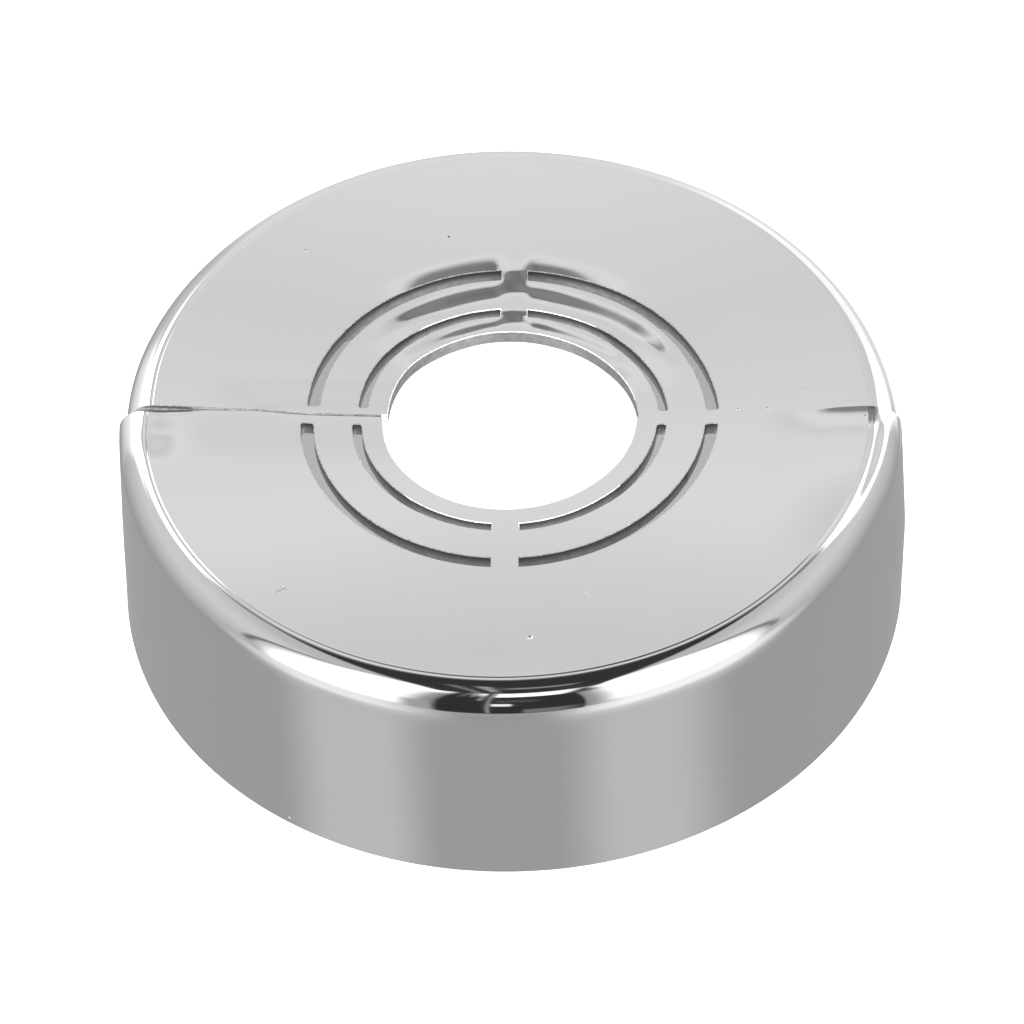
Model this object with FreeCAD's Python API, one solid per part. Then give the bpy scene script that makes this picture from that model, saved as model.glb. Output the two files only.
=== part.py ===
import FreeCAD, Part
import math
import os

# Split pipe collar for a radiator: a round cap in two clipped halves, moulded in plastic and chrome plated.
# Millimetres and degrees. The pipe runs along Z through the bore, the open end of the skirt lies at z = 0,
# and the halves meet on the plane y = 0. The front half is on the side of negative y.

# Cap
collar_height = 21.5
base_radius = 35.0
draft_angle = 2.75
wall = 1.3
inner_rim_radius = 1.15
dish_depth = 1.4
edge_round = 0.2

# Bore for the smallest pipe
pipe_radius = 10.65
pipe_clearance = 0.35

# Break-out rings for two larger pipes: the land inside each slot, then the slot
inner_ring_land = 1.85
inner_slot_width = 0.8
outer_ring_land = 3.4
outer_slot_width = 1.1
slot_corner_radius = 0.25
middle_bridge_width = 2.4
seam_bridge_width = 1.0

# Seam between the halves
seam_gap = 0.1

# Clip at each end of the seam: a tongue under the top of one half, in a loop under the top of the other
clip_margin = 0.6
tongue_width = 3.4
tongue_thickness = 1.2
tongue_reach = 4.5
tongue_root = 5.0
tongue_lead = 0.45
clip_clearance = 0.15
loop_wall = 1.0
loop_overrun = 1.0

# Nearer than this, two points count as one
tolerance = 1e-5

# Worked out from the sizes above
bore_radius = pipe_radius + pipe_clearance
inner_slot_start = bore_radius + inner_ring_land
inner_slot_end = inner_slot_start + inner_slot_width
outer_slot_start = inner_slot_end + outer_ring_land
outer_slot_end = outer_slot_start + outer_slot_width
slots = [(inner_slot_start, inner_slot_end), (outer_slot_start, outer_slot_end)]
outer_rim_radius = inner_rim_radius + wall
half_gap = seam_gap / 2
clip_centre = outer_slot_end + clip_margin + loop_wall + clip_clearance + tongue_width / 2
draft = math.radians(draft_angle)

# The rim's arcs share one centre: it lies a rim radius in from the skirt and down from the highest point
rim_z = collar_height - outer_rim_radius
rim_r = base_radius - (outer_rim_radius + rim_z * math.sin(draft)) / math.cos(draft)
bore_top_z = collar_height - dish_depth
bore_under_z = bore_top_z - wall


def section_point(radius, height):
    return FreeCAD.Vector(radius, 0, height)


def rim_point(radius, angle):
    """Point of a rim arc, at an angle from the horizontal."""
    return section_point(rim_r + radius * math.cos(angle), rim_z + radius * math.sin(angle))


def top_tangent_angle(radius, start_z):
    """Angle on a rim arc where a straight line from the bore's edge at start_z runs into it."""
    inward = rim_r - bore_radius
    up = start_z - rim_z
    return math.pi - math.atan2(up, inward) - math.acos(radius / math.hypot(inward, up))


top_angle = top_tangent_angle(outer_rim_radius, bore_top_z)
under_angle = top_tangent_angle(inner_rim_radius, bore_under_z)


def underside_z(radius):
    """Height of the top's underside at a radius, along its straight stretch."""
    far = rim_point(inner_rim_radius, under_angle)
    slope = (far.z - bore_under_z) / (far.x - bore_radius)
    return bore_under_z + slope * (radius - bore_radius)


def rim_arc(radius, start_angle, end_angle):
    angles = (start_angle, (start_angle + end_angle) / 2, end_angle)
    return Part.Arc(*[rim_point(radius, angle) for angle in angles]).toShape()


def skin_section():
    """Outside of the cap in section, from the skirt's foot up over the rim to the bore's edge."""
    return [
        Part.makeLine(section_point(base_radius, 0), rim_point(outer_rim_radius, draft)),
        rim_arc(outer_rim_radius, draft, top_angle),
        Part.makeLine(rim_point(outer_rim_radius, top_angle), section_point(bore_radius, bore_top_z)),
    ]


def cap():
    """The whole cap, turned from its section: skirt, rim, dished top and plain bore."""
    skirt_foot = section_point(base_radius, 0)
    skirt_inner_foot = section_point(base_radius - wall / math.cos(draft), 0)
    bore_top = section_point(bore_radius, bore_top_z)
    bore_under = section_point(bore_radius, bore_under_z)
    inside = [
        Part.makeLine(bore_top, bore_under),
        Part.makeLine(bore_under, rim_point(inner_rim_radius, under_angle)),
        rim_arc(inner_rim_radius, under_angle, draft),
        Part.makeLine(rim_point(inner_rim_radius, draft), skirt_inner_foot),
        Part.makeLine(skirt_inner_foot, skirt_foot),
    ]
    section = Part.Wire(skin_section() + inside)
    return Part.Face(section).revolve(FreeCAD.Vector(0, 0, 0), FreeCAD.Vector(0, 0, 1), 360)


def block(x_start, x_end, y_start, y_end, z_start, z_end):
    corner = FreeCAD.Vector(x_start, y_start, z_start)
    return Part.makeBox(x_end - x_start, y_end - y_start, z_end - z_start, corner)


def front_side():
    """All the space in front of the seam, as wide and as high as the cap."""
    return block(-base_radius, base_radius, -base_radius, -half_gap, 0, collar_height)


def front_slots():
    """Break-out slots of the front half: two arcs a ring, stopped short of the seam and of the middle."""
    cuts = []
    for start, end in slots:
        ring = Part.makeCylinder(end, collar_height).cut(Part.makeCylinder(start, collar_height))
        for side in (-1, 1):
            near = side * middle_bridge_width / 2
            far = side * base_radius
            quarter = block(min(near, far), max(near, far), -base_radius, -half_gap - seam_bridge_width,
                            0, collar_height)
            arc = ring.common(quarter)
            corners = [edge for edge in arc.Edges if is_upright(edge)]
            cuts.append(arc.makeFillet(slot_corner_radius, corners))
    return cuts


def is_upright(edge):
    across = edge.valueAt(edge.LastParameter) - edge.valueAt(edge.FirstParameter)
    return math.hypot(across.x, across.y) < tolerance


def clip_top_z():
    """Highest level of a tongue: just clear of the underside where that hangs lowest over it."""
    return underside_z(clip_centre - tongue_width / 2) - clip_clearance


def tongue():
    """Tongue of the front half at the right end of the seam, with its root up into the top."""
    x_start = clip_centre - tongue_width / 2
    high = clip_top_z()
    low = high - tongue_thickness
    tip = tongue_reach
    outline = [
        (-tongue_root, low),
        (tip - tongue_lead, low),
        (tip, low + tongue_lead),
        (tip, high - tongue_lead),
        (tip - tongue_lead, high),
        (-half_gap, high),
        (-half_gap, high + clip_clearance + wall / 2),
        (-tongue_root, high + clip_clearance + wall / 2),
    ]
    points = [FreeCAD.Vector(x_start, y, z) for y, z in outline]
    return Part.Face(Part.makePolygon(points + points[:1])).extrude(FreeCAD.Vector(tongue_width, 0, 0))


def loop():
    """Loop of the front half at the left end of the seam, open towards the other half's tongue."""
    hole_half = tongue_width / 2 + clip_clearance
    hole_low = clip_top_z() - tongue_thickness - clip_clearance
    outer_half = hole_half + loop_wall
    back = -tongue_reach - loop_overrun
    into_top = clip_top_z() + clip_clearance + wall / 2
    outside = block(-clip_centre - outer_half, -clip_centre + outer_half,
                    back, -half_gap, hole_low - loop_wall, into_top)
    hole = block(-clip_centre - hole_half, -clip_centre + hole_half,
                 back, -half_gap, hole_low, into_top)
    return outside.cut(hole)


def points_along(edge):
    span = edge.LastParameter - edge.FirstParameter
    return [edge.valueAt(edge.FirstParameter + span * share) for share in (0.25, 0.5, 0.75)]


def on_skin(point):
    """Whether a point lies on the outside of the cap: its skirt, rim or dished top."""
    in_section = section_point(math.hypot(point.x, point.y), point.z)
    return Part.Vertex(in_section).distToShape(Part.Wire(skin_section()))[0] < tolerance


def edges_to_round(shell):
    """Edges of the skin at the bore, the slots and the seam, but not the circles that bound skirt and rim."""
    top_end = rim_point(outer_rim_radius, top_angle).x
    found = []
    for edge in shell.Edges:
        points = points_along(edge)
        level = abs(points[0].z - points[2].z) < tolerance
        outer_circle = level and math.hypot(points[1].x, points[1].y) > top_end - tolerance
        if all(on_skin(point) for point in points) and not outer_circle:
            found.append(edge)
    return found


def front_half():
    shell = cap().common(front_side())
    for slot in front_slots():
        shell = shell.cut(slot)
    rounded = shell.makeFillet(edge_round, edges_to_round(shell))
    return rounded.fuse([tongue(), loop()]).removeSplitter()


def turned(shape):
    """The same moulding, half a turn round the pipe: its tongue meets the other's loop."""
    copy = shape.copy()
    copy.rotate(FreeCAD.Vector(0, 0, 0), FreeCAD.Vector(0, 0, 1), 180)
    return copy


def main():
    os.makedirs("parts", exist_ok=True)
    front = front_half()
    pieces = {"front_half": front, "rear_half": turned(front)}
    for name, shape in pieces.items():
        solid = shape.Solids[0]
        print(name, "solids", len(shape.Solids), "valid", shape.isValid(), "volume", round(solid.Volume, 2))
        solid.exportStep("parts/" + name + ".step")


main()
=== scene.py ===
import math
import bmesh
import bpy
from mathutils import Matrix, Vector, noise


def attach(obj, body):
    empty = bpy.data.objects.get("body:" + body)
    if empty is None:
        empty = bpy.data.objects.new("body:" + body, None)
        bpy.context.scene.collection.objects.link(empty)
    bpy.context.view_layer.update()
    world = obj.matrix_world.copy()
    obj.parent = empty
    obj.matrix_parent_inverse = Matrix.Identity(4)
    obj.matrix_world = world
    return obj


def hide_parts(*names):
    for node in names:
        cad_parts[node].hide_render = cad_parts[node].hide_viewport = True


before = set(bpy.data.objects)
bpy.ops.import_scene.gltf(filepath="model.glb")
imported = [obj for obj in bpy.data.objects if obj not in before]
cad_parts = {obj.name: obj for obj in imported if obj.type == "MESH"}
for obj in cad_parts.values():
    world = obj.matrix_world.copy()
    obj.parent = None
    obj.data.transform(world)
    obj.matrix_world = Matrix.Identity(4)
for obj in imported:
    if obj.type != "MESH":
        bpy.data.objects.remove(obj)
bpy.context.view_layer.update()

mm = 0.001

# Both halves of the collar, in millimetres. The pipe runs along z and the halves meet on y = 0.
collar = {
    "footRadius": 35.0,
    "height": 21.5,
    "draft": math.radians(2.75),
    "wall": 1.3,
    "rimRadius": 2.45,
    "rimSegments": 24,
    "rimStart": math.radians(4.3),
    "rimEnd": math.radians(85),
    "skirtRows": (0.0, 0.3, 4.0, 8.0, 12.0, 16.0, 17.4, 17.7, 18.0, 18.3, 18.6, 18.9),
    "easeFrom": 17.4,
    "easeBulge": 0.0245,
    "boreRadius": 11.0,
    "boreTop": 20.1,
    "dishRadius": 31.50,
    "dishTop": 21.5195,
    "dishBend": 0.0228,
    "stepWidth": 0.27,
    "stepDrop": 0.029,
    "stepRows": 5,
    "slots": ((12.85, 13.65), (17.05, 18.15)),
    "slotCorner": 0.25,
    "bridgeHalf": 1.2,
    "bridgeColumns": 8,
    "seamHalf": 0.05,
    "seamBridge": 1.0,
    "seamColumns": 5,
    "fanColumns": 84,
    "fadeColumns": 4,
    "rowPitch": 0.26,
    "edgeMargin": 0.3,
    "edgeRound": 0.2,
    "edgeSegments": 4,
    "roundFrom": math.radians(50),
    "sharpFrom": math.radians(40),
    "seamFacing": 0.99,
    "seamWithin": 0.1,
    "near": 0.01,
}

# How the two mouldings lie out of true, in millimetres. The rear half leans to the right, its rings have sunk
# towards the bore, and the ends of the seam don't lie level with each other. Slopes are given at knots of
# radius or of distance, and a sag is what they add up to.
warp = {
    "lean": math.tan(math.radians(2.16)),
    "leanRise": 0.34,
    "lessRise": {"by": 0.35, "y": (4.5, 0), "x": (-29, -22)},
    "shift": 0.36,
    "shiftRight": (0.10, 14, 31),
    "shiftSeam": (0.12, 8, 0),
    "sags": (
        {"slopes": ((11.2, 0.0), (11.5, 0.090), (11.9, 0.090), (12.4, 0.0), (12.7, 0.0), (12.8, 0.070),
                    (13.2, 0.070), (13.4, 0.0)), "right": (24, 50), "left": (152, 128)},
        {"slopes": ((14.35, 0.0), (15.0, 0.100), (15.75, 0.100), (16.5, 0.0)), "right": (14, 42),
         "left": (150, 128)},
        {"slopes": ((17.1, 0.0), (17.3, 0.060), (18.0, 0.060), (18.1, 0.088), (18.4, 0.078), (19.2, 0.050),
                    (20.0, 0.0)), "right": (46, 76), "left": (138, 112)},
    ),
    "bridges": ((11.8, 0.0), (12.2, 0.098), (13.3, 0.098), (13.7, 0.0), (15.3, 0.0), (15.8, 0.100),
                (17.6, 0.100), (18.3, 0.03), (19.2, 0.0)),
    "bridgeEdge": (1.8, 0.4),
    "neck": (16, 3, 0.04),
    "sagsDrift": ((0, 0.30), (22, 0.05), (55, 0.4)),
    "steeperRight": (88, 42, 0.45),
    "steeperLeft": (100, 130, 0.15),
    "seam": ((-32, 0.20), (-26, 0.30), (-22.4, 0.42), (-17.5, 0.15), (-11, 0.21), (11, 0.10), (17.3, -0.24),
             (26.5, -0.28), (29, -0.10), (34, -0.22)),
    "seamReach": {"front": 6.0, "rear": 0.9},
    "seamClosed": {"ends": (-16.8, -18.0), "by": 0.09},
    "frontLeft": {"drop": 0.27, "ends": (-25.5, -31), "raise": 0.12, "width": 6.0},
    "frontRight": {"slopes": ((0.0, 0.150), (0.5, 0.142), (0.8, 0.112), (1.8, 0.09), (2.8, 0.03), (3.8, 0.0)),
                   "back": (20, 5), "ends": (21, 30), "rim": (33.2, 32.2)},
    "frontOut": (
        {"by": 0.30, "x": (5, 11), "y": (-16, 0), "z": (0, 12)},
        {"by": -0.28, "x": (19, 30), "y": (-16, 0), "z": (0, 12)},
        {"by": 0.48, "x": (30.5, 34.8), "y": (-20, -6), "z": (0, 8)},
        {"by": -0.14, "x": (-5, -13), "y": (0, -4), "z": (0, 12)},
        {"by": -0.22, "x": (-32, -34), "y": (-4, 0), "z": (14, 19.5)},
    ),
    "ripples": ({"x": -30.0, "reach": 1.7, "y": (0.1, -0.75), "drop": 0.075},
                {"x": -30.3, "reach": 1.5, "y": (-1.3, -2.5), "drop": 0.085}),
    "ripplesEnd": -7.0,
    "burr": 0.07,
    "burrPitch": 0.22,
}

# Clip under each end of the seam: a tongue on the right of a half, and on its left a loop for the other's
# tongue.
clip = {
    "centre": 21.6,
    "width": 3.4,
    "thickness": 1.2,
    "reach": 4.5,
    "root": 5.0,
    "top": 19.255,
    "clearance": 0.15,
    "loopWall": 1.0,
    "overrun": 1.0,
    "intoTop": 0.65,
    "bevel": 0.2,
}


# Goes smoothly from 0 to 1 as value goes from start to end, whichever of them is higher.
def eased(value, start, end):
    share = min(1.0, max(0.0, (value - start) / (end - start)))
    return share * share * (3 - 2 * share)


def rimCentre():
    z = collar["height"] - collar["rimRadius"]
    lean = collar["rimRadius"] + z * math.sin(collar["draft"])
    return collar["footRadius"] - lean / math.cos(collar["draft"]), z


def rimPoint(turn):
    rimR, rimZ = rimCentre()
    return rimR + collar["rimRadius"] * math.cos(turn), rimZ + collar["rimRadius"] * math.sin(turn)


# The skirt tapers, and bends a little before it meets the rim.
def skirtRadius(z):
    share = max(0.0, (z - collar["easeFrom"]) / (rimPoint(collar["rimStart"])[1] - collar["easeFrom"]))
    return collar["footRadius"] - z * math.tan(collar["draft"]) + collar["easeBulge"] * (1 - share ** 2)


# The top is dished, more steeply towards the rim, and a small step there leads down to a level shelf.
def topHeight(radius):
    if radius > collar["dishRadius"]:
        end = collar["dishRadius"] + collar["stepWidth"]
        return collar["dishTop"] - collar["stepDrop"] * eased(radius, collar["dishRadius"], end)
    length = collar["dishRadius"] - collar["boreRadius"]
    share = (radius - collar["boreRadius"]) / length
    straight = collar["boreTop"] + (collar["dishTop"] - collar["boreTop"]) * share
    return straight - collar["dishBend"] * length * share * (1 - share)


# Radii of the rows over the top, from the rim in to the bore, closer together at the step and at the slots.
def topRadii():
    margin = collar["edgeMargin"]
    corner = collar["slotCorner"]
    dish, step = collar["dishRadius"], collar["stepWidth"]
    marks = [rimPoint(collar["rimEnd"])[0], dish + step + 0.05]
    marks += [dish + step * (1 - k / collar["stepRows"]) for k in range(collar["stepRows"] + 1)]
    marks += [dish - 0.05, dish - 0.2]
    for start, end in reversed(collar["slots"]):
        marks += [end + margin, end, end - 0.02, end - 0.08, end - corner]
        marks += [start + corner, start + 0.08, start + 0.02, start, start - margin]
    marks += [collar["boreRadius"] + margin, collar["boreRadius"]]
    radii = [marks[0]]
    for outer, inner in zip(marks, marks[1:]):
        count = max(1, round((outer - inner) / collar["rowPitch"]))
        radii += [outer + (inner - outer) * k / count for k in range(1, count + 1)]
    return radii


# One half of the outer skin: its section is spun half way round, in even columns.
def spunSkin(bm):
    points = [(skirtRadius(z), z) for z in collar["skirtRows"]]
    for k in range(collar["rimSegments"] + 1):
        share = k / collar["rimSegments"]
        points.append(rimPoint(collar["rimStart"] + (collar["rimEnd"] - collar["rimStart"]) * share))
    points += [(r, topHeight(r)) for r in topRadii()[1:]]
    line = [bm.verts.new((-r, 0, z)) for r, z in points]
    edges = [bm.edges.new(pair) for pair in zip(line, line[1:])]
    bmesh.ops.spin(bm, geom=line + edges, cent=(0, 0, 0), axis=(0, 0, 1), angle=math.pi,
                   steps=columnCount(), use_merge=False)


def columnCount():
    return 2 * (collar["seamColumns"] + collar["fanColumns"]) + collar["bridgeColumns"]


# How far round the front a column lies, from the left end of the seam, for a point at this radius. The
# columns beside the seam and in the bridges run straight, and those between fan out.
def columnAngle(column, radius):
    half = columnCount() / 2
    if column > half:
        return math.pi - columnAngle(2 * half - column, radius)
    seam, fan = collar["seamColumns"], collar["fanColumns"]
    pitch = collar["seamBridge"] / seam
    push = cornerPush(radius)
    if column <= seam:
        return math.asin((collar["seamHalf"] + pitch * column + push * (column == seam)) / radius)
    push *= max(0, 1 - (column - seam) / collar["fadeColumns"])
    last = math.asin((collar["seamHalf"] + collar["seamBridge"] + push) / radius)
    bridge = collar["bridgeHalf"]
    if column >= seam + fan:
        across = bridge * (half - column) / (collar["bridgeColumns"] / 2)
        return math.pi / 2 - math.asin(across / radius)
    first = math.pi / 2 - math.asin(bridge / radius)
    return last + (first - last) * (column - seam) / fan


# The ends of the slots next to the seam have round corners: their end column bends along the slot there.
def cornerPush(radius):
    corner = collar["slotCorner"]
    for start, end in collar["slots"]:
        inside = min(radius - start, end - radius)
        if 0 <= inside < corner:
            return corner - math.sqrt(corner ** 2 - (corner - inside) ** 2)
        if -2 * corner < inside < 0:
            return corner * (1 + inside / (2 * corner)) ** 2
    return 0.0


def inSlot(radius):
    return any(start < radius < end for start, end in collar["slots"])


def cutSlots(bm):
    step = math.pi / columnCount()
    first = collar["seamColumns"]
    last = first + collar["fanColumns"]
    gone = []
    for face in bm.faces:
        centre = face.calc_center_median()
        if centre.z < collar["height"] / 2 or not inSlot(math.hypot(centre.x, centre.y)):
            continue
        column = math.atan2(-centre.y, -centre.x) / step
        column = min(column, columnCount() - column)
        if first < column < last:
            gone.append(face)
    bmesh.ops.delete(bm, geom=gone, context="FACES")


def straightenColumns(bm):
    step = math.pi / columnCount()
    for v in bm.verts:
        radius = math.hypot(v.co.x, v.co.y)
        column = round(math.atan2(max(0.0, -v.co.y), -v.co.x) / step)
        turn = columnAngle(column, radius)
        v.co.x = -radius * math.cos(turn)
        v.co.y = -radius * math.sin(turn)


# Place inside the wall that belongs to a point of the skin: straight under the top, and level with the skirt.
def insidePoint(co):
    radius = math.hypot(co.x, co.y)
    rimR, rimZ = rimCentre()
    rimStart, rimEnd = collar["rimStart"], collar["rimEnd"]
    inner = collar["rimRadius"] - collar["wall"]
    topEnd = rimPoint(rimEnd)[0]
    if radius < topEnd + collar["near"] / 10:
        return Vector((co.x, co.y, co.z - collar["wall"]))
    if co.z > rimPoint(rimStart)[1] - collar["near"]:
        share = (math.atan2(co.z - rimZ, radius - rimR) - rimStart) / (rimEnd - rimStart)
        turn = rimStart + (math.acos((topEnd - rimR) / inner) - rimStart) * share
        inside, z = rimR + inner * math.cos(turn), rimZ + inner * math.sin(turn)
    else:
        inside, z = radius - collar["wall"] / math.cos(collar["draft"]), co.z
    return Vector((co.x * inside / radius, co.y * inside / radius, z))


# Closes the skin to a shell, with a copy of it inside.
def thicken(bm):
    skin = list(bm.verts)
    border = [e for e in bm.edges if e.is_boundary]
    inner = bmesh.ops.duplicate(bm, geom=skin + list(bm.edges) + list(bm.faces))["vert_map"]
    for v in skin:
        inner[v].co = insidePoint(v.co)
    for e in border:
        bm.faces.new((e.verts[0], e.verts[1], inner[e.verts[1]], inner[e.verts[0]]))
    bmesh.ops.recalc_face_normals(bm, faces=bm.faces)


def isSkinPoint(co):
    radius = math.hypot(co.x, co.y)
    near = collar["near"]
    if radius < rimPoint(collar["rimEnd"])[0] + near:
        return abs(co.z - topHeight(radius)) < near
    rimR, rimZ = rimCentre()
    if co.z > rimZ:
        return abs(math.hypot(radius - rimR, co.z - rimZ) - collar["rimRadius"]) < near
    return abs(radius - skirtRadius(co.z)) < near


# Finishes of a half, by their place in its list of materials.
finishes = {"skin": 0, "wall": 1, "edge": 2, "seam": 3}


# Rounds the skin's edges. The skin, its walls and inside, and the rounded edges have a finish each, and the
# wall along the seam has its own.
def roundEdges(bm):
    sharp = [e for e in bm.edges if len(e.link_faces) == 2 and e.calc_face_angle() > collar["roundFrom"]]
    aboveFoot = [e for e in sharp if max(v.co.z for v in e.verts) > collar["near"]]
    skin = [e for e in aboveFoot if all(isSkinPoint(v.co) for v in e.verts)]
    for face in bm.faces:
        onSkin = all(isSkinPoint(v.co) for v in face.verts)
        face.material_index = finishes["skin" if onSkin else "wall"]
    rounded = bmesh.ops.bevel(bm, geom=skin, affect="EDGES", offset=collar["edgeRound"], offset_type="OFFSET",
                              segments=collar["edgeSegments"], profile=0.5, material=-1, clamp_overlap=True)
    for face in rounded["faces"]:
        face.material_index = finishes["edge"]
    bm.normal_update()
    for face in bm.faces:
        atSeam = face.calc_center_median().y > -collar["seamWithin"]
        facing = abs(face.normal.y) > collar["seamFacing"]
        if face.material_index == finishes["wall"] and atSeam and facing:
            face.material_index = finishes["seam"]


def extrudedBlock(bm, outline, direction):
    face = bm.faces.new([bm.verts.new(co) for co in outline])
    grown = bmesh.ops.extrude_face_region(bm, geom=[face])["geom"]
    moved = [v for v in grown if isinstance(v, bmesh.types.BMVert)]
    bmesh.ops.translate(bm, vec=direction, verts=moved)
    faces = {f for v in moved for f in v.link_faces} | {face}
    for side in faces:
        side.material_index = finishes["wall"]
    bmesh.ops.recalc_face_normals(bm, faces=list(faces))
    edges = list({e for f in faces for e in f.edges})
    bmesh.ops.bevel(bm, geom=edges, affect="EDGES", offset=clip["bevel"], offset_type="OFFSET", segments=2,
                    profile=0.5, material=-1, clamp_overlap=True)


def addClip(bm):
    half = clip["width"] / 2
    low = clip["top"] - clip["thickness"]
    into = clip["top"] + clip["clearance"] + clip["intoTop"]
    left = clip["centre"] - half
    tongue = [(-clip["root"], low), (clip["reach"], low), (clip["reach"], clip["top"]),
              (-collar["seamHalf"], clip["top"]), (-collar["seamHalf"], into), (-clip["root"], into)]
    extrudedBlock(bm, [(left, y, z) for y, z in tongue], (clip["width"], 0, 0))
    inner = half + clip["clearance"]
    outer = inner + clip["loopWall"]
    floorZ = low - clip["clearance"]
    back = -clip["reach"] - clip["overrun"]
    bottomZ = floorZ - clip["loopWall"]
    loop = [(-outer, into), (-outer, bottomZ), (outer, bottomZ), (outer, into),
            (inner, into), (inner, floorZ), (-inner, floorZ), (-inner, into)]
    extrudedBlock(bm, [(x - clip["centre"], back, z) for x, z in loop], (0, -collar["seamHalf"] - back, 0))


# Value of a curve that goes from knot to knot in smooth steps.
def throughKnots(knots, place):
    value = knots[0][1]
    for (start, low), (end, high) in zip(knots, knots[1:]):
        value += (high - low) * eased(place, start, end)
    return value


# How far a surface has sunk at a place, from its slopes at the knots beyond it.
def sunkBy(slopes, place):
    drop = 0.0
    for (start, low), (end, high) in zip(slopes, slopes[1:]):
        near = min(max(place, start), end)
        atNear = low + (high - low) * (near - start) / (end - start)
        drop += (atNear + high) / 2 * (end - near)
    return drop


# How far the top of the rear half has sunk round the bore.
def sagDrop(x, y):
    radius = math.hypot(x, y)
    angle = math.degrees(math.atan2(y, x))
    drift = throughKnots(warp["sagsDrift"], abs(angle - 90))
    rings = 0.0
    for sag in warp["sags"]:
        share = eased(angle, *sag["right"]) * eased(angle, *sag["left"])
        rings += sunkBy(sag["slopes"], radius - drift) * share
    start, end, less = warp["neck"]
    rings *= 1 - less * eased(abs(angle - 90), start, end)
    for start, end, more in (warp["steeperRight"], warp["steeperLeft"]):
        rings *= 1 + more * eased(angle, start, end)
    return rings + (sunkBy(warp["bridges"], radius) - rings) * eased(abs(x), *warp["bridgeEdge"]) * (y > 0)


# The rear half's top is lower towards the right. Towards the left it is higher, up to a limit, and less at the
# seam.
def leanDrop(x, y):
    if x > 0:
        return warp["lean"] * x
    less = warp["lessRise"]
    share = 1 - less["by"] * eased(y, *less["y"]) * eased(x, *less["x"])
    return warp["leanRise"] * math.tanh(warp["lean"] * x / warp["leanRise"]) * share


# How far the front half has sunk: the left end of its seam, a hollow at the right end, and ripples at the
# left.
def frontDrop(x, y):
    left, right = warp["frontLeft"], warp["frontRight"]
    drop = (left["drop"] * eased(x, *left["ends"]) - left["raise"] * (x < 0)) * eased(y, -left["width"], 0)
    hollow = sunkBy(right["slopes"], 0) - sunkBy(right["slopes"], -y)
    hollow *= eased(math.hypot(x, y), *right["rim"])
    drop += hollow * eased(-y, *right["back"]) * eased(x, *right["ends"])
    for ripple in warp["ripples"]:
        near = math.exp(-((x - ripple["x"]) / ripple["reach"]) ** 2)
        sunk = eased(y, *ripple["y"]) * eased(y, warp["ripplesEnd"], ripple["y"][1])
        drop += ripple["drop"] * near * sunk
    return drop


def pushedOut(co, push):
    return push["by"] * eased(co.x, *push["x"]) * eased(co.y, *push["y"]) * eased(co.z, *push["z"])


# How far the rear half lies to the right: less at its own right end, and more at the seam.
def sideShift(x, y):
    atRight, start, end = warp["shiftRight"]
    more, far, near = warp["shiftSeam"]
    return warp["shift"] + (atRight - warp["shift"]) * eased(x, start, end) + more * eased(y, far, near)


# Sinks and shifts the top where it is out of true, and the skirt with it in proportion to its height. The
# seam wanders, and it is closed at the left.
def settle(bm, turned):
    closed = warp["seamClosed"]
    reach = warp["seamReach"]["rear" if turned else "front"]
    for v in bm.verts:
        share = v.co.z / collar["height"]
        x, y = v.co.x, v.co.y
        back = throughKnots(warp["seam"], x)
        if turned:
            v.co.z -= (sagDrop(x, y) + leanDrop(x, y)) * share
            v.co.x += sideShift(x, y) * share
            back -= closed["by"] * eased(x, *closed["ends"])
        else:
            out = sum(pushedOut(v.co, push) for push in warp["frontOut"])
            v.co.z -= frontDrop(x, y) * share
            v.co.x += out
        v.co.y += back * eased(abs(y), reach, 0) * share


# Wears the rounded edges unevenly.
def roughen(bm):
    bm.normal_update()
    for v in bm.verts:
        if v.link_faces and all(f.material_index == finishes["edge"] for f in v.link_faces):
            worn = 0.5 + 0.5 * noise.noise(v.co / warp["burrPitch"])
            v.co -= v.normal * warp["burr"] * worn


# Keeps how far each point lies under the outside, for the painted shade of the walls. The bore's wall counts
# as deep all over, since it is in the light, so it gets none of that painted shade.
def markDepth(bm):
    layer = bm.verts.layers.float.new("below")
    for v in bm.verts:
        radius = math.hypot(v.co.x, v.co.y)
        inBore = radius < collar["boreRadius"] + collar["near"]
        v[layer] = collar["wall"] if inBore else topHeight(min(radius, collar["dishRadius"])) - v.co.z


def halfMesh(name, turned):
    bm = bmesh.new()
    spunSkin(bm)
    cutSlots(bm)
    straightenColumns(bm)
    thicken(bm)
    roundEdges(bm)
    addClip(bm)
    markDepth(bm)
    if turned:
        bmesh.ops.rotate(bm, cent=(0, 0, 0), matrix=Matrix.Rotation(math.pi, 3, "Z"), verts=bm.verts)
    settle(bm, turned)
    roughen(bm)
    bmesh.ops.scale(bm, vec=(mm, mm, mm), verts=bm.verts)
    for f in bm.faces:
        f.smooth = True
    for e in bm.edges:
        if len(e.link_faces) == 2 and e.calc_face_angle() > collar["sharpFrom"]:
            e.smooth = False
    mesh = bpy.data.meshes.new(name)
    bm.to_mesh(mesh)
    print(name, "faces", len(bm.faces), "open edges", sum(not e.is_manifold for e in bm.edges))
    bm.free()
    piece = bpy.data.objects.new(name, mesh)
    bpy.context.scene.collection.objects.link(piece)
    return piece


# Node trees, written out with a small helper that adds a node and sets or links its inputs.
def addNode(tree, kind, inputs=(), **values):
    node = tree.nodes.new(kind)
    for key, value in values.items():
        setattr(node, key, value)
    for key, value in dict(inputs).items():
        if isinstance(value, bpy.types.NodeSocket):
            tree.links.new(value, node.inputs[key])
        else:
            node.inputs[key].default_value = value
    return node


def mathNode(tree, operation, *inputs):
    return addNode(tree, "ShaderNodeMath", dict(enumerate(inputs)), operation=operation).outputs[0]


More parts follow.
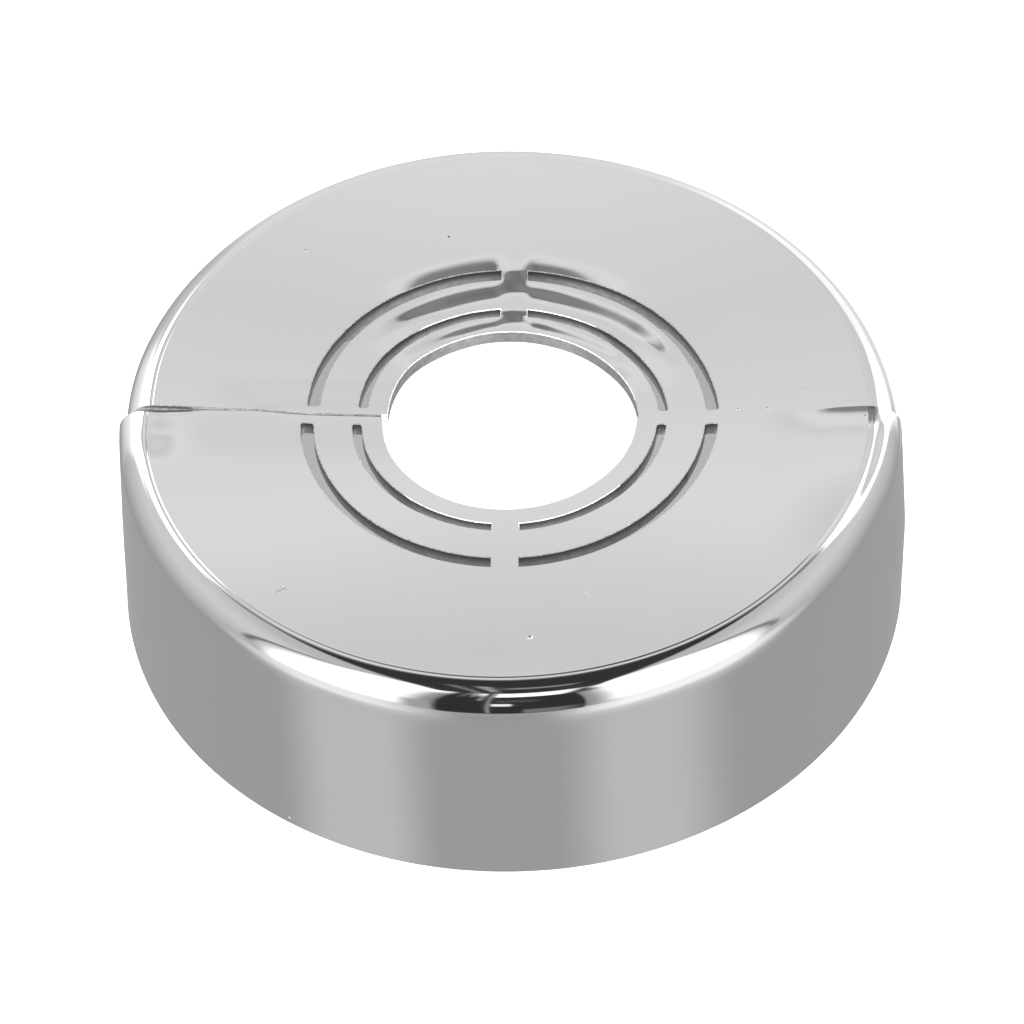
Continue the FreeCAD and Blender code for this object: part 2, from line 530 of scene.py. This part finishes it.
# Rises smoothly from 0 to 1 as value goes from start to end, or falls where end is the lower one.
def ramp(tree, value, start, end):
    inputs = {"Value": value, "From Min": start, "From Max": end}
    return addNode(tree, "ShaderNodeMapRange", inputs, interpolation_type="SMOOTHSTEP").outputs["Result"]


def mixed(tree, share, below, above):
    inputs = {"Factor": share, "A": below, "B": above}
    return addNode(tree, "ShaderNodeMix", inputs, data_type="FLOAT").outputs["Result"]


# Studio round the collar, by direction in degrees: turn is 0 behind the collar and grows to the right, onward
# is the same but goes on past 180, and lift is above the floor. Overhead, across and along are those of a
# level plane one above the collar. Later patches lie over earlier ones, and each has its edges, their softness
# and its light.
studio = {
    "turned": 2.5,
    "wall": ((-90, 0.43), (-43, 0.38), (-35, 0.39), (-25, 0.44), (-15, 0.49), (0, 0.59), (15, 0.66),
             (30, 0.74), (45, 0.74), (55, 0.68), (62, 0.60), (90, 0.5)),
    "patches": (
        # behind the collar: the pale backdrop that its top shows, then lit and grey patches beside it
        {"turn": (-17, 13), "lift": (-60, 80), "soft": (8, 8, 10, 10),
         "light": ((-40, 0.56), (-25, 0.66), (-8, 0.82), (20, 0.88), (36, 0.86), (38.5, 0.70), (42, 0.87),
                   (46, 0.82), (49.5, 0.76), (51.5, 0.80), (54, 0.87), (58, 0.84))},
        {"turn": (12, 40), "lift": (-10, 24), "soft": (8, 8, 14, 9), "light": 1.2},
        {"turn": (-16, -12), "lift": (38, 54), "soft": (2, 2, 6, 4), "light": 0.36},
        {"turn": (-46.5, -30), "lift": (12, 38), "soft": (5, 6, 12, 8), "light": 1.5},
        {"turn": (-38.5, -17.5), "lift": (28, 54), "soft": (4, 3, 10, 3), "light": 2.0},
        {"turn": (-49, -33), "lift": (-20, 16), "soft": (6, 8, 30, 8),
         "light": ((-20, 0.70), (-1, 0.90), (10, 1.05), (18, 1.3))},
        {"turn": (33.5, 49), "lift": (14, 44.5), "soft": (5, 5, 14, 4), "light": 2.2},
        {"turn": (23.5, 43), "lift": (42, 52), "soft": (4, 6, 4, 3), "light": 1.9},
        {"turn": (37, 51), "lift": (-18, 16), "soft": (4, 6, 22, 10),
         "light": ((-24, 0.85), (-13, 1.05), (-2, 1.5), (16, 1.8))},
        {"turn": (6, 38), "lift": (-41, -6), "soft": (4, 6, 2, 16), "light": 0.85},
        # the two large lights in front, left and right
        {"turn": (-149, -115), "lift": (-17, 68), "soft": (12, 8, 14, 8), "light": 1.7},
        {"turn": (-156, -130), "lift": (-17, 68), "soft": (10, 8, 14, 8), "light": 1.7},
        {"turn": (117, 160), "lift": (-17, 66), "soft": (9, 9, 14, 8), "light": 1.7},
        {"turn": (-110, -107), "lift": (2, 60), "soft": (2.5, 2.5, 12, 12), "light": 0.22},
        {"turn": (110, 113), "lift": (2, 60), "soft": (2.5, 2.5, 12, 12), "light": 0.24},
        # under the horizon the floor shows the front lights blurred
        {"turn": (-152, -107), "lift": (-99, -14), "soft": (28, 30, 1, 20), "light": 1.02},
        {"turn": (107, 163), "lift": (-99, -14), "soft": (30, 28, 1, 20), "light": 1.15},
        # and nearest to the collar it lies in its shade
        {"turn": (-400, 400), "lift": (-99, -41.6), "soft": (1, 1, 1, 4.0), "light": 0.4},
        {"turn": (-149, -115), "lift": (-99, -41.6), "soft": (18, 20, 1, 4.0), "light": 0.60},
        {"turn": (125, 161), "lift": (-99, -41.6), "soft": (26, 22, 1, 4.0), "light": 0.60},
        # overhead a dark opening with a grey frame at its far edge
        {"across": (-0.295, 0.305), "along": (-0.545, 0.60), "soft": 0.05, "skew": 0.3, "light": 0.04},
        {"across": (-0.36, 0.07), "along": (0.465, 0.60), "soft": 0.10, "skew": 0, "light": 0.27},
        {"across": (0.07, 0.42), "along": (0.525, 0.66), "soft": 0.10, "skew": 0, "light": 0.27},
        # in front, round the camera: the dark gap between the lights
        {"onward": (157.5, 164.5), "lift": (-22, 50), "soft": (13, 1, 8, 12), "light": 0.36},
        {"onward": (200, 207.5), "lift": (-22, 52), "soft": (2, 11, 8, 10), "light": 0.33},
        {"onward": (200, 208.5), "lift": (-20, 12), "soft": (2, 6, 8, 12), "light": 0.42},
        {"onward": (163.5, 201.5), "lift": (-24, 68), "soft": (1.2, 2.5, 6, 6), "light": 0.035},
        {"onward": (156.5, 166), "lift": (42, 74), "soft": (7, 3, 14, 6), "light": 0.05},
        {"onward": (151, 162), "lift": (55, 74), "soft": (6, 3, 9, 6), "light": 0.05},
        # what stands in the gap, with the bright strip before the opening and the bars that run on overhead
        {"onward": (166.5, 179), "lift": (-22, -6), "soft": (10, 1.0, 6, 8), "light": 0.21},
        {"onward": (175, 186), "lift": (24.5, 34), "soft": (5, 1, 3, 5), "light": 0.09},
        {"onward": (182, 187), "lift": (9, 18.5), "soft": (0.7, 0.7, 1.4, 1.4), "light": 1.1},
        {"across": (-0.03, 0.14), "along": (-0.25, -0.16), "soft": 0.06, "skew": 0, "light": 0.32},
        {"across": (-0.088, -0.06), "along": (-0.62, -0.03), "soft": 0.02, "skew": 0, "light": 0.40},
        {"across": (-0.150, -0.126), "along": (-0.6, -0.02), "soft": 0.02, "skew": 0, "light": 0.24},
        {"across": (-0.16, 0.235), "along": (-0.985, -0.60), "soft": 0.10, "skew": 0, "light": 1.5},
        {"onward": (187, 190.5), "lift": (30, 68), "soft": (0.6, 1.0, 6, 6), "light": 0.05},
        {"onward": (187.6, 188.6), "lift": (-21, 64), "soft": (0.8, 0.8, 2, 2), "light": 0.34},
        {"onward": (190.2, 191.3), "lift": (31, 47), "soft": (0.9, 0.9, 4, 8), "light": 0.36},
        {"onward": (193.2, 194.6), "lift": (46, 60), "soft": (1.2, 1.2, 8, 6), "light": 0.38},
        {"onward": (196.4, 197.6), "lift": (44, 62), "soft": (1.2, 1.2, 10, 4), "light": 0.2},
    ),
}


# Value that goes straight from one step to the next as the lift grows.
def stepped(tree, lift, steps):
    light = steps[0][1]
    for (low, _), (high, value) in zip(steps, steps[1:]):
        inputs = {"Value": lift, "From Min": low, "From Max": high}
        light = mixed(tree, addNode(tree, "ShaderNodeMapRange", inputs).outputs["Result"], light, value)
    return light


def edgeMask(tree, edges):
    mask = None
    for value, start, end in edges:
        edge = ramp(tree, value, start, end)
        mask = edge if mask is None else mathNode(tree, "MULTIPLY", mask, edge)
    return mask


def panelMask(tree, turn, lift, patch, key):
    left, right, low, high = [width / 2 for width in patch["soft"]]
    (turnLow, turnHigh), (liftLow, liftHigh) = patch[key], patch["lift"]
    return edgeMask(tree, (
        (turn, turnLow - left, turnLow + left), (turn, turnHigh + right, turnHigh - right),
        (lift, liftLow - low, liftLow + low), (lift, liftHigh + high, liftHigh - high),
    ))


def overheadMask(tree, across, along, patch):
    soft = patch["soft"] / 2
    askew = mathNode(tree, "SUBTRACT", along, mathNode(tree, "MULTIPLY", across, patch["skew"]))
    return edgeMask(tree, (
        (across, patch["across"][0] - soft, patch["across"][0] + soft),
        (across, patch["across"][1] + soft, patch["across"][1] - soft),
        (along, patch["along"][0] - soft, patch["along"][0] + soft),
        (askew, patch["along"][1] + soft, patch["along"][1] - soft),
    ))


def lightStudio():
    world = bpy.data.worlds.new("softStudio")
    bpy.context.scene.world = world
    world.use_nodes = True
    tree = world.node_tree
    tree.nodes.clear()
    way = addNode(tree, "ShaderNodeTexCoord").outputs["Generated"]
    way = addNode(tree, "ShaderNodeVectorRotate", {"Vector": way, "Angle": math.radians(-studio["turned"])},
                  rotation_type="Z_AXIS").outputs[0]
    axes = addNode(tree, "ShaderNodeSeparateXYZ", {0: way}).outputs
    turn = mathNode(tree, "DEGREES", mathNode(tree, "ARCTAN2", axes["X"], axes["Y"]))
    lift = mathNode(tree, "DEGREES", mathNode(tree, "ARCSINE", axes["Z"]))
    onward = mathNode(tree, "WRAP", turn, 360.0, 0.0)
    height = mathNode(tree, "MAXIMUM", axes["Z"], 0.05)
    across = mathNode(tree, "DIVIDE", axes["X"], height)
    along = mathNode(tree, "DIVIDE", axes["Y"], height)
    light = stepped(tree, lift, studio["wall"])
    for patch in studio["patches"]:
        own = patch["light"]
        own = stepped(tree, lift, own) if isinstance(own, tuple) else own
        if "turn" in patch:
            mask = panelMask(tree, turn, lift, patch, "turn")
        elif "onward" in patch:
            mask = panelMask(tree, onward, lift, patch, "onward")
        else:
            mask = overheadMask(tree, across, along, patch)
        light = mixed(tree, mask, light, own)
    back = addNode(tree, "ShaderNodeBackground", {"Color": light, "Strength": 1.0})
    addNode(tree, "ShaderNodeOutputWorld", {"Surface": back.outputs[0]})
    print("studio made")


# The camera stands where the photograph was taken from, in collar radii from the middle of the foot.
camera = {
    "distance": 14.0,
    "elevation": math.radians(46.89),
    "roll": math.radians(-2.25),
    "yaw": math.radians(2.50),
    "aim": (0.0011, 0.0, 0.2266),
    "focalPixels": 5475.9,
    "imagePixels": 1024,
    "sensor": 36.0,
    "clip": (0.01, 10),
}


def addCamera():
    radius = collar["footRadius"] * mm
    rise = camera["elevation"]
    place = Vector((0, -math.cos(rise), math.sin(rise))) * camera["distance"] + Vector(camera["aim"])
    forward = Vector((0, math.cos(rise), -math.sin(rise)))
    right = Vector((1, 0, 0))
    up = right.cross(forward)
    c, s = math.cos(camera["roll"]), math.sin(camera["roll"])
    rolledRight = right * c + up * s
    rolledUp = up * c - right * s
    data = bpy.data.cameras.new("studioCamera")
    data.sensor_width = camera["sensor"]
    data.lens = camera["focalPixels"] / camera["imagePixels"] * camera["sensor"]
    data.clip_start, data.clip_end = camera["clip"]
    holder = bpy.data.objects.new("studioCamera", data)
    bpy.context.scene.collection.objects.link(holder)
    axes = Matrix((rolledRight, rolledUp, -forward)).transposed().to_4x4()
    spun = Matrix.Rotation(camera["yaw"], 4, "Z")
    holder.matrix_world = spun @ Matrix.Translation(place * radius) @ axes
    bpy.context.scene.camera = holder
    return holder


# A narrow light beside the camera shines through the bore, so that the floor is bright there too.
boreLight = {"radius": 11.25, "aim": (0.1, 0.0, 19.6), "power": 18.0}


def addBoreLight(holder):
    data = bpy.data.lights.new("boreLight", "SPOT")
    data.energy = boreLight["power"]
    data.shadow_soft_size = 0.0
    data.spot_blend = 0.0
    aim = Vector(boreLight["aim"]) * mm
    place = holder.matrix_world.translation
    data.spot_size = 2 * math.atan(boreLight["radius"] * mm / (place - aim).length)
    light = bpy.data.objects.new("boreLight", data)
    bpy.context.scene.collection.objects.link(light)
    facing = (place - aim).to_track_quat("Z", "Y").to_matrix().to_4x4()
    light.matrix_world = Matrix.Translation(place) @ facing


# Pale floor that glows a little, and less where the collar covers it: the dimmer glow there is painted shade
# under the collar.
floor = {
    "side": 3.0,
    "pale": (0.93, 0.93, 0.93, 1),
    "paler": (0.89, 0.89, 0.89, 1),
    "grain": 900.0,
    "glow": 0.9,
    "glowInPaintedShade": 0.27,
    "glowFrom": (0.0338, 0.0350),
    "drop": 0.00005,
}


def noiseNode(tree, place, scale, detail, roughness=0.5):
    inputs = {"Vector": place, "Scale": scale, "Detail": detail, "Roughness": roughness}
    return addNode(tree, "ShaderNodeTexNoise", inputs).outputs["Fac"]


def mixedColour(tree, share, below, above):
    node = addNode(tree, "ShaderNodeMix", {0: share, 6: below, 7: above}, data_type="RGBA")
    return node.outputs[2]


def emptyMaterial(name):
    paint = bpy.data.materials.new(name)
    paint.use_nodes = True
    paint.node_tree.nodes.clear()
    place = addNode(paint.node_tree, "ShaderNodeTexCoord").outputs["Object"]
    return paint, paint.node_tree, place


def addFloor():
    bm = bmesh.new()
    bmesh.ops.create_grid(bm, x_segments=1, y_segments=1, size=floor["side"] / 2)
    bmesh.ops.translate(bm, vec=(0, 0, -floor["drop"]), verts=bm.verts)
    mesh = bpy.data.meshes.new("studioFloor")
    bm.to_mesh(mesh)
    bm.free()
    piece = bpy.data.objects.new("studioFloor", mesh)
    bpy.context.scene.collection.objects.link(piece)
    paint, tree, place = emptyMaterial("paleFloor")
    colour = mixedColour(tree, noiseNode(tree, place, floor["grain"], 3.0), floor["paler"], floor["pale"])
    diffuse = addNode(tree, "ShaderNodeBsdfDiffuse", {"Color": colour})
    away = addNode(tree, "ShaderNodeVectorMath", {0: place}, operation="LENGTH").outputs["Value"]
    # The glow is lower inside the collar's foot: painted shade on the floor under it.
    glow = mixed(tree, ramp(tree, away, *floor["glowFrom"]), floor["glowInPaintedShade"], floor["glow"])
    glow = addNode(tree, "ShaderNodeEmission", {"Strength": glow})
    both = addNode(tree, "ShaderNodeAddShader", {0: diffuse.outputs[0], 1: glow.outputs[0]})
    addNode(tree, "ShaderNodeOutputMaterial", {"Surface": both.outputs[0]})
    mesh.materials.append(paint)
    piece.visible_glossy = False


# Plating on the outside. Depths, widths and pitches are in millimetres, places in the collar's axes.
plating = {
    "colour": (0.80, 0.80, 0.805, 1),
    "dimmer": (0.785, 0.785, 0.79, 1),
    "roughness": (0.035, 0.075),
    "patches": {"pitch": 6.0, "between": (0.3, 0.7)},
    "waves": {"pitch": 17.0, "depth": 0.010},
    "grain": {"pitch": 0.35, "depth": 0.00025},
    "depth": 0.06,
    "worn": {"point": (-30.4, -1.5), "width": 1.7, "rough": 0.30},
    "topPits": (
        ((2.31, -26.89), 0.30, 1.0), ((-18.5, 19.81), 0.16, 0.6), ((-5.64, 21.82), 0.22, 0.5),
        ((20.22, 0.95), 0.16, 1.0), ((22.77, 1.0), 0.16, 1.0), ((26.23, 3.1), 0.40, 0.15),
        ((31.3, -1.43), 0.15, 0.8),
    ),
    "skirtPits": (
        ((3.3, -34.75, 5.1), 0.14, 0.8), ((-19.0, -29.35, 0.75), 0.2, 1.0),
        ((-33.5, -7.05, 16.5), 0.16, 0.8), ((-34.0, -6.53, 8.0), 0.18, 1.0),
        ((-32.75, -11.68, 5.5), 0.16, 0.8),
    ),
    "scratches": (
        ((-19.38, -21.6), (-18.5, -21.0), 0.09, 1.0), ((-19.0, -20.9), (-18.35, -21.25), 0.08, 1.0),
        ((-9.18, -15.88), (-8.29, -17.09), 0.05, 0.5), ((6.83, -21.14), (7.35, -22.01), 0.05, 0.4),
        ((9.7, -22.8), (10.3, -23.3), 0.05, 0.3), ((29.36, 1.58), (32.0, 1.25), 0.05, 0.5),
        ((-22.4, 0.74), (-20.3, 0.72), 0.05, 1.0), ((-22.4, 0.52), (-20.3, 0.50), 0.05, 1.0),
    ),
}


# The place as seen from above.
def levelPlace(tree, place):
    return addNode(tree, "ShaderNodeVectorMath", {0: place, 1: (1, 1, 0)}, operation="MULTIPLY").outputs[0]


def towardsPoint(tree, place, point):
    inputs = {0: place, 1: Vector(point).to_3d() * mm}
    return addNode(tree, "ShaderNodeVectorMath", inputs, operation="DISTANCE").outputs["Value"]


def towardsLine(tree, place, start, end):
    start, end = Vector(start).to_3d() * mm, Vector(end).to_3d() * mm
    along = end - start
    offset = addNode(tree, "ShaderNodeVectorMath", {0: place, 1: start}, operation="SUBTRACT").outputs[0]
    share = addNode(tree, "ShaderNodeVectorMath", {0: offset, 1: along / along.length_squared},
                    operation="DOT_PRODUCT").outputs["Value"]
    share = addNode(tree, "ShaderNodeClamp", {"Value": share}).outputs[0]
    foot = addNode(tree, "ShaderNodeVectorMath", {0: along, "Scale": share}, operation="SCALE").outputs[0]
    away = addNode(tree, "ShaderNodeVectorMath", {0: offset, 1: foot}, operation="DISTANCE")
    return away.outputs["Value"]


# Height of the plating's blemishes: 0 where it is sound, down to -1 in the deepest pit. Those of the top are
# placed as seen from above.
def blemishes(tree, place):
    level = levelPlace(tree, place)
    marks = [(towardsPoint(tree, level, point), width, share) for point, width, share in plating["topPits"]]
    marks += [(towardsPoint(tree, place, point), width, share)
              for point, width, share in plating["skirtPits"]]
    marks += [(towardsLine(tree, level, start, end), width, share)
              for start, end, width, share in plating["scratches"]]
    height = 0.0
    for away, width, share in marks:
        mark = mathNode(tree, "MULTIPLY", ramp(tree, away, width * mm, 0.0), share)
        height = mathNode(tree, "SUBTRACT", height, mark)
    return height


def bumped(tree, height, depth, normal=None):
    inputs = {"Strength": 1.0, "Distance": depth * mm, "Height": height}
    if normal is not None:
        inputs["Normal"] = normal
    return addNode(tree, "ShaderNodeBump", inputs).outputs["Normal"]


def chrome():
    finish, tree, place = emptyMaterial("chromePlating")
    waves, grain, dull = plating["waves"], plating["grain"], plating["patches"]
    patches = noiseNode(tree, place, 1 / (dull["pitch"] * mm), 4.0)
    (start, end), (low, high) = dull["between"], plating["roughness"]
    rough = addNode(tree, "ShaderNodeMapRange", {"Value": patches, "From Min": start, "From Max": end,
                                                 "To Min": low, "To Max": high}).outputs["Result"]
    worn = plating["worn"]
    near = ramp(tree, towardsPoint(tree, levelPlace(tree, place), worn["point"]), worn["width"] * mm, 0.0)
    rough = mixed(tree, near, rough, worn["rough"])
    colour = mixedColour(tree, patches, plating["dimmer"], plating["colour"])
    normal = bumped(tree, noiseNode(tree, place, 1 / (waves["pitch"] * mm), 1.0), waves["depth"])
    normal = bumped(tree, noiseNode(tree, place, 1 / (grain["pitch"] * mm), 2.0), grain["depth"], normal)
    normal = bumped(tree, blemishes(tree, place), plating["depth"], normal)
    inputs = {"Base Color": colour, "Metallic": 1.0, "Roughness": rough, "Normal": normal}
    shader = addNode(tree, "ShaderNodeBsdfPrincipled", inputs)
    addNode(tree, "ShaderNodeOutputMaterial", {"Surface": shader.outputs[0]})
    return finish


# Thin, rough plating: on the walls painted shade makes it darker under the top's edge, and on the rounded
# edges and along the seam it is bright and grainy. On the rounded edges that white grain is a painted
# highlight that stands in for glints, and along the seam painted shade darkens the recess at its left end.
thinGrain = {"detail": 4.0, "roughness": 0.65, "between": (0.3, 0.7)}


def thinPlating(name, values):
    finish, tree, place = emptyMaterial(name)
    grain = noiseNode(tree, place, 1 / (values["pitch"] * mm), thinGrain["detail"], thinGrain["roughness"])
    colour = mixedColour(tree, ramp(tree, grain, *thinGrain["between"]), values["dark"], values["light"])
    # Painted shade: the shade colour goes where a point lies just under the top's edge, and with shadeX only
    # at the left end of the seam.
    if "shade" in values:
        below = addNode(tree, "ShaderNodeAttribute", attribute_name="below").outputs["Fac"]
        shaded = ramp(tree, below, *values["shadeEnds"])
        if "shadeX" in values:
            x = addNode(tree, "ShaderNodeSeparateXYZ", {0: place}).outputs["X"]
            shaded = mathNode(tree, "MAXIMUM", shaded, ramp(tree, x, *[end * mm for end in values["shadeX"]]))
        colour = mixedColour(tree, shaded, values["shade"], colour)
    inputs = {"Base Color": colour, "Metallic": values["metallic"], "Roughness": values["roughness"],
              "Normal": bumped(tree, grain, values["depth"])}
    shader = addNode(tree, "ShaderNodeBsdfPrincipled", inputs)
    addNode(tree, "ShaderNodeOutputMaterial", {"Surface": shader.outputs[0]})
    return finish


# The walls' shade colour is painted shade under the top's edge; the grain between dark and light is the thin
# plating's own tone.
wallPlatingWithShade = {"dark": (0.44, 0.435, 0.43, 1), "light": (0.60, 0.595, 0.59, 1),
               "shade": (0.16, 0.157, 0.155, 1), "shadeEnds": (0.1, 1.1), "metallic": 0.9, "roughness": 0.38,
               "pitch": 0.7, "depth": 0.02}
# The white in the rounded edges' grain is a painted highlight: it stands in for the glints along the worn
# chrome edges.
edgePlatingWithHighlight = {"dark": (0.45, 0.45, 0.45, 1), "light": (1.0, 1.0, 1.0, 1), "metallic": 0.15,
               "roughness": 0.25, "pitch": 0.3, "depth": 0.12}
# The seam's shade colour is painted shade in the recess at the left end of the seam, just under the top's
# edge.
seamPlatingWithShade = {"dark": (0.45, 0.45, 0.45, 1), "light": (1.0, 1.0, 1.0, 1), "shade": (0.20, 0.20, 0.20, 1),
               "shadeEnds": (0.28, 0.40), "shadeX": (-28.2, -27.2), "metallic": 0.2, "roughness": 0.3,
               "pitch": 0.4, "depth": 0.12}

# Piece, the node it stands for, its body, and whether it is turned half way round.
halves = (("frontHalf", "front_half", "front", False), ("rearHalf", "rear_half", "rear", True))


def addHalves():
    paints = [chrome()]
    paints.append(thinPlating("wallPlatingWithShade", wallPlatingWithShade))
    paints.append(thinPlating("edgePlatingWithHighlight", edgePlatingWithHighlight))
    paints.append(thinPlating("seamPlatingWithShade", seamPlatingWithShade))
    for name, node, body, turned in halves:
        piece = halfMesh(name, turned)
        for paint in paints:
            piece.data.materials.append(paint)
        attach(piece, body)
        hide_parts(node)
    print("halves made")


addHalves()
lightStudio()
addFloor()
addBoreLight(addCamera())
bpy.context.scene.view_settings.view_transform = "Standard"
